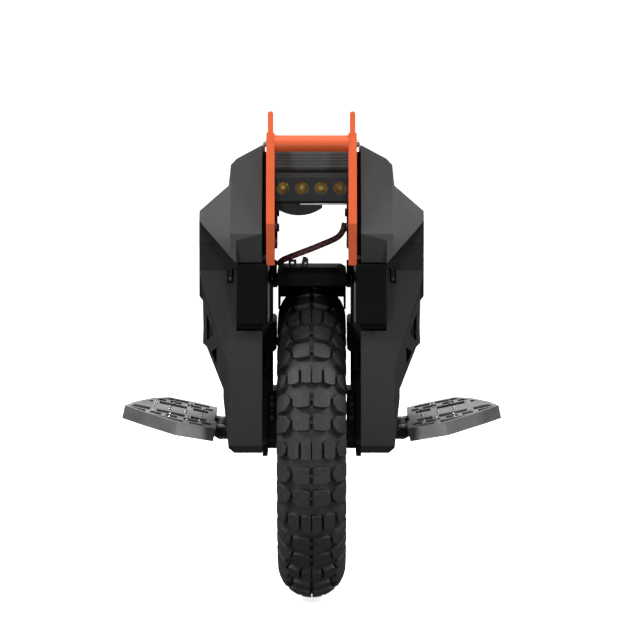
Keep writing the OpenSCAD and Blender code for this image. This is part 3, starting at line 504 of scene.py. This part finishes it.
def build_lamps():
    """Four bowls whose profile is in BOWL, as shares of the lens radius and of the depth behind it."""
    low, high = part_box("headlight_lenses")
    radius = (high.z - low.z) / 2
    pitch = (high.x - low.x - 2 * radius) / 3
    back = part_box("headlight_reflectors")[1].y
    for i in range(4):
        centre = Vector((low.x + radius + i * pitch, 0, (low.z + high.z) / 2))
        depth = back - high.y
        rows = [(radius * out, high.y + depth * inward) for out, inward in BOWL]
        lathed(f"lamp_bowl_{i}", centre, rows, 14, "reflector", ["headlight_reflectors"], False, 0.05)
        tip = high.y + depth * 0.2
        quarter = [math.pi / 2 * k / 6 for k in range(6)]
        dome = [(BULB_R * math.cos(a), tip + BULB_R * (1 - math.sin(a))) for a in quarter]
        base = [(BULB_BASE_R, high.y + depth * 0.84), (BULB_BASE_R, tip + BULB_BASE_R)]
        lathed(f"lamp_bulb_{i}", centre, base + dome + [(0.2 * MM, tip)], 16, "bush")
        turn = [2 * math.pi * k / 10 for k in range(11)]
        rim = [(radius * 0.93 + BEZEL_WIRE_R * math.cos(a), low.y - 0.4 * MM + BEZEL_WIRE_R * math.sin(a))
               for a in turn]
        lathed(f"lamp_bezel_{i}", centre, rim, 40, "dark_steel")


def strip(name, low, high, body, slot):
    """A straight bar between two corners, with rounded edges."""
    verts = [(x, y, z) for x in (low[0], high[0]) for y in (low[1], high[1]) for z in (low[2], high[2])]
    faces = [(0, 1, 3, 2), (4, 6, 7, 5), (0, 4, 5, 1), (2, 3, 7, 6), (0, 2, 6, 4), (1, 5, 7, 3)]
    obj = piece(name, verts, faces, body, slot)
    bevel = obj.modifiers.new("bevel", "BEVEL")
    bevel.width = 0.4 * MM
    bevel.segments = ROUNDING_STEPS


build_lamps()
lamp_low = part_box("headlight_housing")[0]
# bright zinc strip along the housing's lower edge: a painted highlight of that edge
strip("lamp_lip_highlight", (-17 * MM, lamp_low.y + 0.2 * MM, lamp_low.z - 1.8 * MM),
      (52.5 * MM, lamp_low.y + 5 * MM, lamp_low.z + 0.4 * MM), "chassis", "bright_bolt")


# ---------- floor, light, camera ----------

FLOOR_Z = -0.6 * MM
SWEEP_GLOW = 0.78
AMBIENT = 0.13
# name, place, size in metres, power in watts and the point it is aimed at
LIGHTS = (("left", (-2.7, -0.7, 2.9), 1.6, 170, (0, 0, 0.45)),
          ("right", (2.7, -0.7, 2.9), 1.6, 155, (0, 0, 0.45)),
          ("top", (0.0, -1.2, 4.0), 1.4, 42, (0, 0, 0.45)),
          ("front left", (-1.9, -4.1, 0.35), 0.6, 72, (0, 0, 0.5)),
          ("front right", (2.1, -4.1, 0.35), 0.6, 68, (0, 0, 0.5)),
          ("back", (0.0, 3.0, 2.8), 2.0, 60, (0, 0, 0.4)))
CAMERA_PLACE = (0.0126, -5.0, 0.94)
CAMERA_LENS = 183.2
CAMERA_DIP = math.radians(5.82)


def stage():
    """A white sweep that runs up behind the object, light from above, and two low lamps in front."""
    radius, back, near, half = 2.0, 7.0, -7.0, 9.0
    profile = [(near, FLOOR_Z)]
    for i in range(13):
        a = math.pi / 2 * i / 12
        profile.append((back - radius + radius * math.sin(a), radius - radius * math.cos(a) + FLOOR_Z))
    profile.append((back, 6.0))
    verts = [(x, y, z) for y, z in profile for x in (-half, half)]
    faces = [(2 * i, 2 * i + 1, 2 * i + 3, 2 * i + 2) for i in range(len(profile) - 1)]
    mesh = bpy.data.meshes.new("sweep")
    mesh.from_pydata(verts, [], faces)
    sweep = bpy.data.objects.new("sweep", mesh)
    bpy.context.scene.collection.objects.link(sweep)
    paint = surface("sweep_paint", (0.8, 0.8, 0.8), rough=0.9, spread=0.01, bump=0.02)
    shader = paint.node_tree.nodes["Principled BSDF"]
    shader.inputs["Emission Color"].default_value = (1, 1, 1, 1)
    shader.inputs["Emission Strength"].default_value = SWEEP_GLOW
    mesh.materials.append(paint)
    sweep.visible_diffuse = False
    sweep.visible_glossy = False
    world = bpy.data.worlds.new("studio")
    bpy.context.scene.world = world
    world.use_nodes = True
    background = world.node_tree.nodes["Background"]
    background.inputs["Color"].default_value = (1, 1, 1, 1)
    background.inputs["Strength"].default_value = AMBIENT
    for name, place, size, power, aim in LIGHTS:
        lamp = bpy.data.lights.new(name, "AREA")
        lamp.size = size
        lamp.energy = power
        obj = bpy.data.objects.new(name, lamp)
        bpy.context.scene.collection.objects.link(obj)
        obj.location = place
        obj.rotation_euler = (Vector(aim) - Vector(place)).to_track_quat("-Z", "Y").to_euler()


def camera():
    cam = bpy.data.cameras.new("camera")
    cam.lens = CAMERA_LENS
    cam.sensor_width = 36
    cam.clip_end = 100
    obj = bpy.data.objects.new("camera", cam)
    bpy.context.scene.collection.objects.link(obj)
    obj.location = CAMERA_PLACE
    obj.rotation_euler = (math.radians(90) - CAMERA_DIP, 0, 0)
    bpy.context.scene.camera = obj


stage()
camera()
bpy.context.scene.view_settings.view_transform = "Standard"
